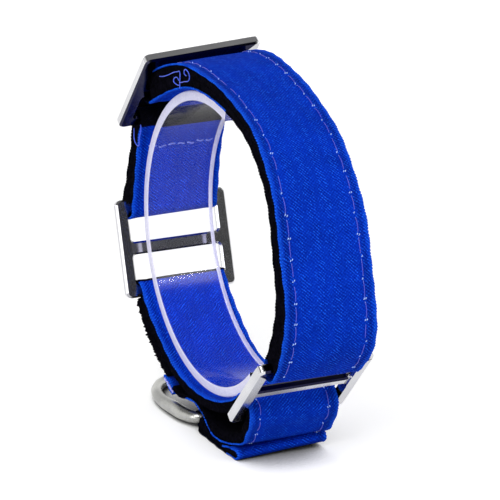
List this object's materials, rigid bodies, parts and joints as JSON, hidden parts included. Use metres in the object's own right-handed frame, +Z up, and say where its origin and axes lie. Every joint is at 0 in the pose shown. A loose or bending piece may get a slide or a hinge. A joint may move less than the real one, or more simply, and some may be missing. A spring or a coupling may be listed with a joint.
{
  "type": "gait belt",
  "caption": "Short blue webbing gait belt with black hook-and-loop pile, three metal three-bar sliders and a D-ring, closed round a clear C-shaped former.",
  "frame": {"origin": "middle of the belt's footprint, on the surface that it stands on", "axes": "+Z up; +Y across the strap's width; +X from the left slider towards the front strap"},
  "size_m": [0.2012, 0.0656, 0.1969],
  "materials": {
    "blue_webbing": "plain-woven royal blue nylon webbing with a fine rib",
    "black_pile": "black hook-and-loop pile, fuzzy",
    "thread": "violet-blue sewing thread",
    "polished_metal": "polished plated steel",
    "cast_ring_metal": "satin nickel-plated steel wire",
    "clear_plastic": "clear moulded plastic sheet, polished edges"
  },
  "bodies": {
    "belt": {"front_strap_webbing": "blue_webbing", "front_loop_pile": "black_pile", "front_hook_pile": "black_pile", "upper_strap_webbing": "blue_webbing", "upper_loop_pile": "black_pile", "upper_hook_pile": "black_pile", "lower_strap_webbing": "blue_webbing", "lower_loop_pile": "black_pile", "lower_outer_run": "black_pile", "closing_strap_webbing": "blue_webbing", "closing_strap_pile": "black_pile", "d_ring_fold": "blue_webbing", "front_stitching": "thread", "closing_stitching": "thread", "cross_stitching": "thread"},
    "tail_flap": {"tail_webbing": "blue_webbing", "tail_pile": "black_pile", "tail_hem_filler": "black_pile"},
    "d_ring": {"d_ring": "cast_ring_metal"},
    "bottom_slider": {"bottom_slider": "polished_metal"},
    "top_slider": {"top_slider": "polished_metal"},
    "left_slider": {"left_slider": "polished_metal"},
    "former": {"clear_former": "clear_plastic"}
  },
  "joints": [
    {"name": "d_ring_swing", "type": "hinge", "parent": "belt", "child": "d_ring", "pos_m": [-0.01165, 0, 0.0046], "axis": [0, 1, 0], "range_deg": [-80, 0]},
    {"name": "tail_peel", "type": "hinge", "parent": "belt", "child": "tail_flap", "pos_m": [-0.00415, 0, 0], "axis": [0, 1, 0], "range_deg": [0, 60]},
    {"name": "bottom_slider_rock", "type": "hinge", "parent": "belt", "child": "bottom_slider", "pos_m": [0.0663, 0, 0.04575], "axis": [0, 1, 0], "range_deg": [-2.5, 2.5]},
    {"name": "top_slider_rock", "type": "hinge", "parent": "belt", "child": "top_slider", "pos_m": [-0.06695, 0, 0.17276], "axis": [0, 1, 0], "range_deg": [-2.5, 2.5]},
    {"name": "left_slider_rock", "type": "hinge", "parent": "belt", "child": "left_slider", "pos_m": [-0.08794, 0, 0.07872], "axis": [0, 1, 0], "range_deg": [-2.5, 2.5]},
    {"name": "former_pull", "type": "slide", "parent": "belt", "child": "former", "axis": [0, -1, 0], "range_m": [0, 0.055]}
  ]
}
